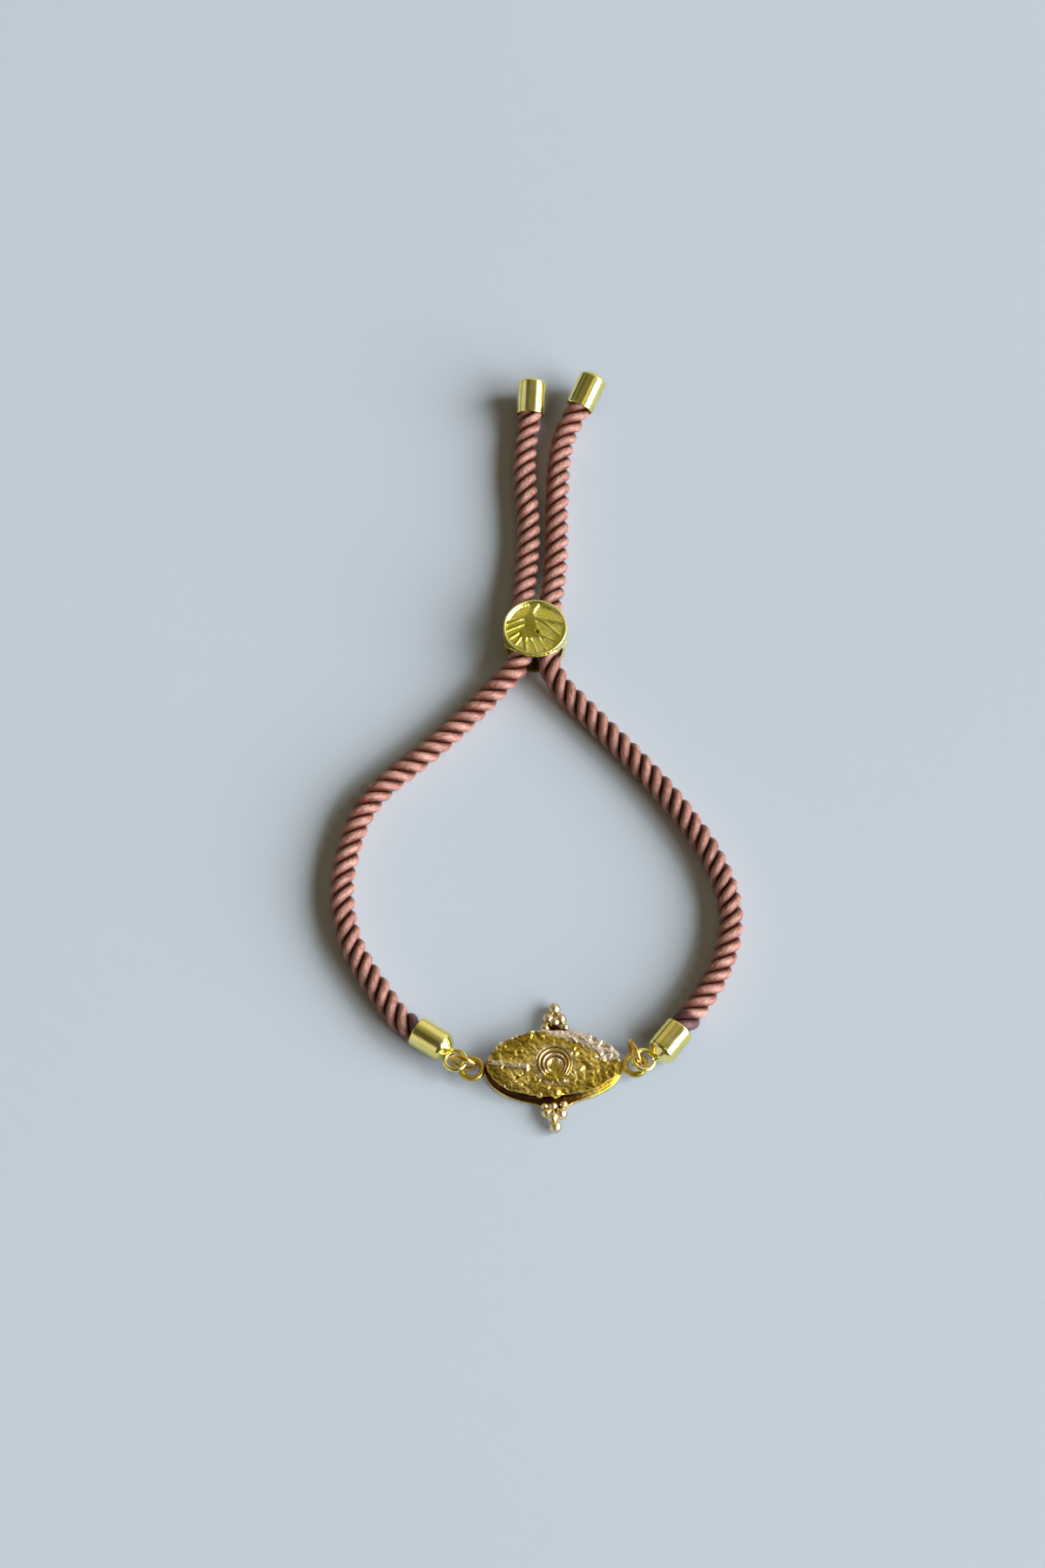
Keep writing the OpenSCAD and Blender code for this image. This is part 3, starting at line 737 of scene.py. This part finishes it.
# One half of the drum, with a number of points round it and of rings on its face: its face, its
# side with a band of fine beads, and the slot's ceiling or floor, which stands sqrt(h^2 - p^2) from
# the middle, h being half the slot's height and p how far x is past the slot's flat part
def sliderHalf(upper, around, rings):
    radius, middle, edge = slider["radius"], slider["height"] / 2, slider["edge"]
    halfHigh = slider["slotHigh"] / 2
    flat = slider["slotWide"] / 2 - halfHigh
    up = 1 if upper else -1
    a = np.linspace(0, 2 * np.pi, around, endpoint=False)[None]

    def slotAt(x):
        past = np.clip(np.abs(x) - flat, 0, None)
        away = np.sqrt(np.clip(halfHigh ** 2 - past ** 2, 0, None))
        return middle + up * (away - slider["slotSkin"])

    r = np.linspace(0, 1, rings + 1)[1:, None] * (radius - edge)
    x, y = r * np.cos(a), r * np.sin(a)
    outer, paintedShade, glint = carvedFace(x, y) if upper else (0 * x, 0 * x, 0 * x)
    edgeX, edgeY = radius * np.cos(a), radius * np.sin(a)
    rim = slider["height"] - edge if upper else edge
    levels = np.linspace(0, 1, 14)[:, None]
    sideZ = rim + (slotAt(edgeX) - rim) * levels
    beads = slider["beadDepth"] * np.cos(slider["beads"] * a) * np.sin(np.pi * levels) ** 2
    sideR = radius - slider["beadDepth"] + beads + 0 * sideZ
    sideR[0], sideR[-1] = radius, radius
    side = np.stack([sideR * np.cos(a), sideR * np.sin(a), sideZ], -1)
    back = np.linspace(1, 0.02, 24)[:, None]
    ceiling = np.stack([back * edgeX, back * edgeY, slotAt(back * edgeX)], -1)
    grid = np.concatenate([np.stack([x, y, outer], -1), side, ceiling[1:]])
    # The lower half has painted shadow at the front, and both have a pale painted highlight at the right
    degree = np.degrees(a)
    shaded = (0.0 if upper else 1.0) * np.exp(-((degree - 270) / 40) ** 2)
    paler = carvedTones["rightSide"] * np.exp(-(((degree + 195) % 360 - 180) / 40) ** 2)
    rest = np.zeros((len(grid) - len(x) + 1, a.size))
    values = [np.concatenate([v[:1], v, rest + tone]).ravel()
        for v, tone in ((paintedShade, shaded), (glint, paler))]
    return closedSurface(grid), values


halves = [sliderHalf(True, 380, 140), sliderHalf(False, 160, 8)]
surfaces = [(points + np.array(slider["at"]), *faces) for (points, *faces), _ in halves]
paintedShade, glint = (np.concatenate([values[k] for _, values in halves]) for k in (0, 1))
makePiece("slider_carved", surfaces, sliderFinish, "slider", "bright_gold", {
    "paintedShade": paintedShade, "glint": glint})


# Floor, lights and surroundings
studio = {"floor": (0.70, 0.74, 0.78), "floorRadius": 1.3, "backdrop": (0.50, 0.56, 0.61),
    "around": (0.10, 0.09, 0.055)}
# Soft glows around: direction, spread and colour
glows = [((0.06, 0.50, 0.865), 0.20, (0.31, 0.29, 0.19)), ((0.60, 0.66, 0.45), 0.36, (0.95, 0.88, 0.80)),
    ((-0.32, 0.80, 0.50), 0.12, (0.58, 0.51, 0.34)), ((-0.73, -0.61, 0.31), 0.13, (0.74, 0.72, 0.69)),
    ((-0.90, 0.13, 0.42), 0.13, (0.64, 0.62, 0.60)), ((0.385, -0.27, 0.883), 0.06, (0.80, 0.72, 0.50))]
# Soft lights: name, place in metres, width and height in metres, watts, colour, and whether the
# metal reflects it. The fill lightens the shadows.
lamps = [("window", (7.35, -3.24, 3.57), (7.56, 5.73), 1350.0, (0.84, 0.92, 1.0), True),
    ("pane", (7.02, 0.96, 4.20), (2.28, 5.19), 279.0, (0.84, 0.92, 1.0), True),
    ("fill", (-0.2, 0.0, 1.50), (2.0, 2.0), 3.4, (1.0, 0.84, 0.52), False)]


def floorColour(wire):
    clouds = noise(wire, stretched(wire, (6.0, 6.0, 6.0)), 1.0, 2.0)
    low, high = (tuple(c * k for c in studio["floor"]) for k in (0.97, 1.03))
    return {"Base Color": blendColour(wire, clouds, (*low, 1), (*high, 1))}


# A round floor, (r cos a, r sin a)
around = np.linspace(0, 2 * np.pi, 96, endpoint=False)
edge = studio["floorRadius"] * np.stack([np.cos(around), np.sin(around), 0 * around], -1)
floorMesh = bpy.data.meshes.new("floor")
floorMesh.from_pydata(edge.tolist(), [], [tuple(range(len(around)))])
floorFinish = newFinish("paleFloor", {"Roughness": 0.8, "Specular IOR Level": 0.2}, floorColour)
floorMesh.materials.append(floorFinish)
floor = bpy.data.objects.new("floor", floorMesh)
bpy.context.scene.collection.objects.link(floor)

for name, place, size, power, colour, reflected in lamps:
    lamp = bpy.data.lights.new(name, "AREA")
    lamp.shape, lamp.size, lamp.size_y = "RECTANGLE", *size
    lamp.energy, lamp.color = power, colour
    holder = bpy.data.objects.new(name, lamp)
    holder.location = place
    holder.rotation_euler = (-holder.location).to_track_quat("-Z", "Y").to_euler()
    holder.visible_glossy = reflected
    bpy.context.scene.collection.objects.link(holder)

# The surroundings show in the metal only. They are dim, with soft glows: a glow's share is how far
# the dot product with its direction has risen above 1 - spread, smoothed by 3 s^2 - 2 s^3
world = bpy.data.worlds.new("surroundings")
world.use_nodes = True
sky = Wire(world.node_tree)
looking = sky.node("TexCoord", output=0)
glow = (*studio["around"], 1)
for towards, spread, colour in glows:
    facing = sky.node("VectorMath", {"operation": "DOT_PRODUCT"}, {0: looking, 1: towards}, output=1)
    share = ((facing - (1 - spread)) * (1 / spread)).clamped()
    glow = blendColour(sky, share * share * (3.0 - 2.0 * share), glow, (*colour, 1))
# The camera itself sees an even pale backdrop
glow = blendColour(sky, sky.node("LightPath"), glow, (*studio["backdrop"], 1))
world.node_tree.links.new(glow.socket, world.node_tree.nodes["Background"].inputs["Color"])
world.cycles_visibility.diffuse = False
bpy.context.scene.world = world
bpy.context.scene.view_settings.view_transform = "Standard"
print("floor and lights set")
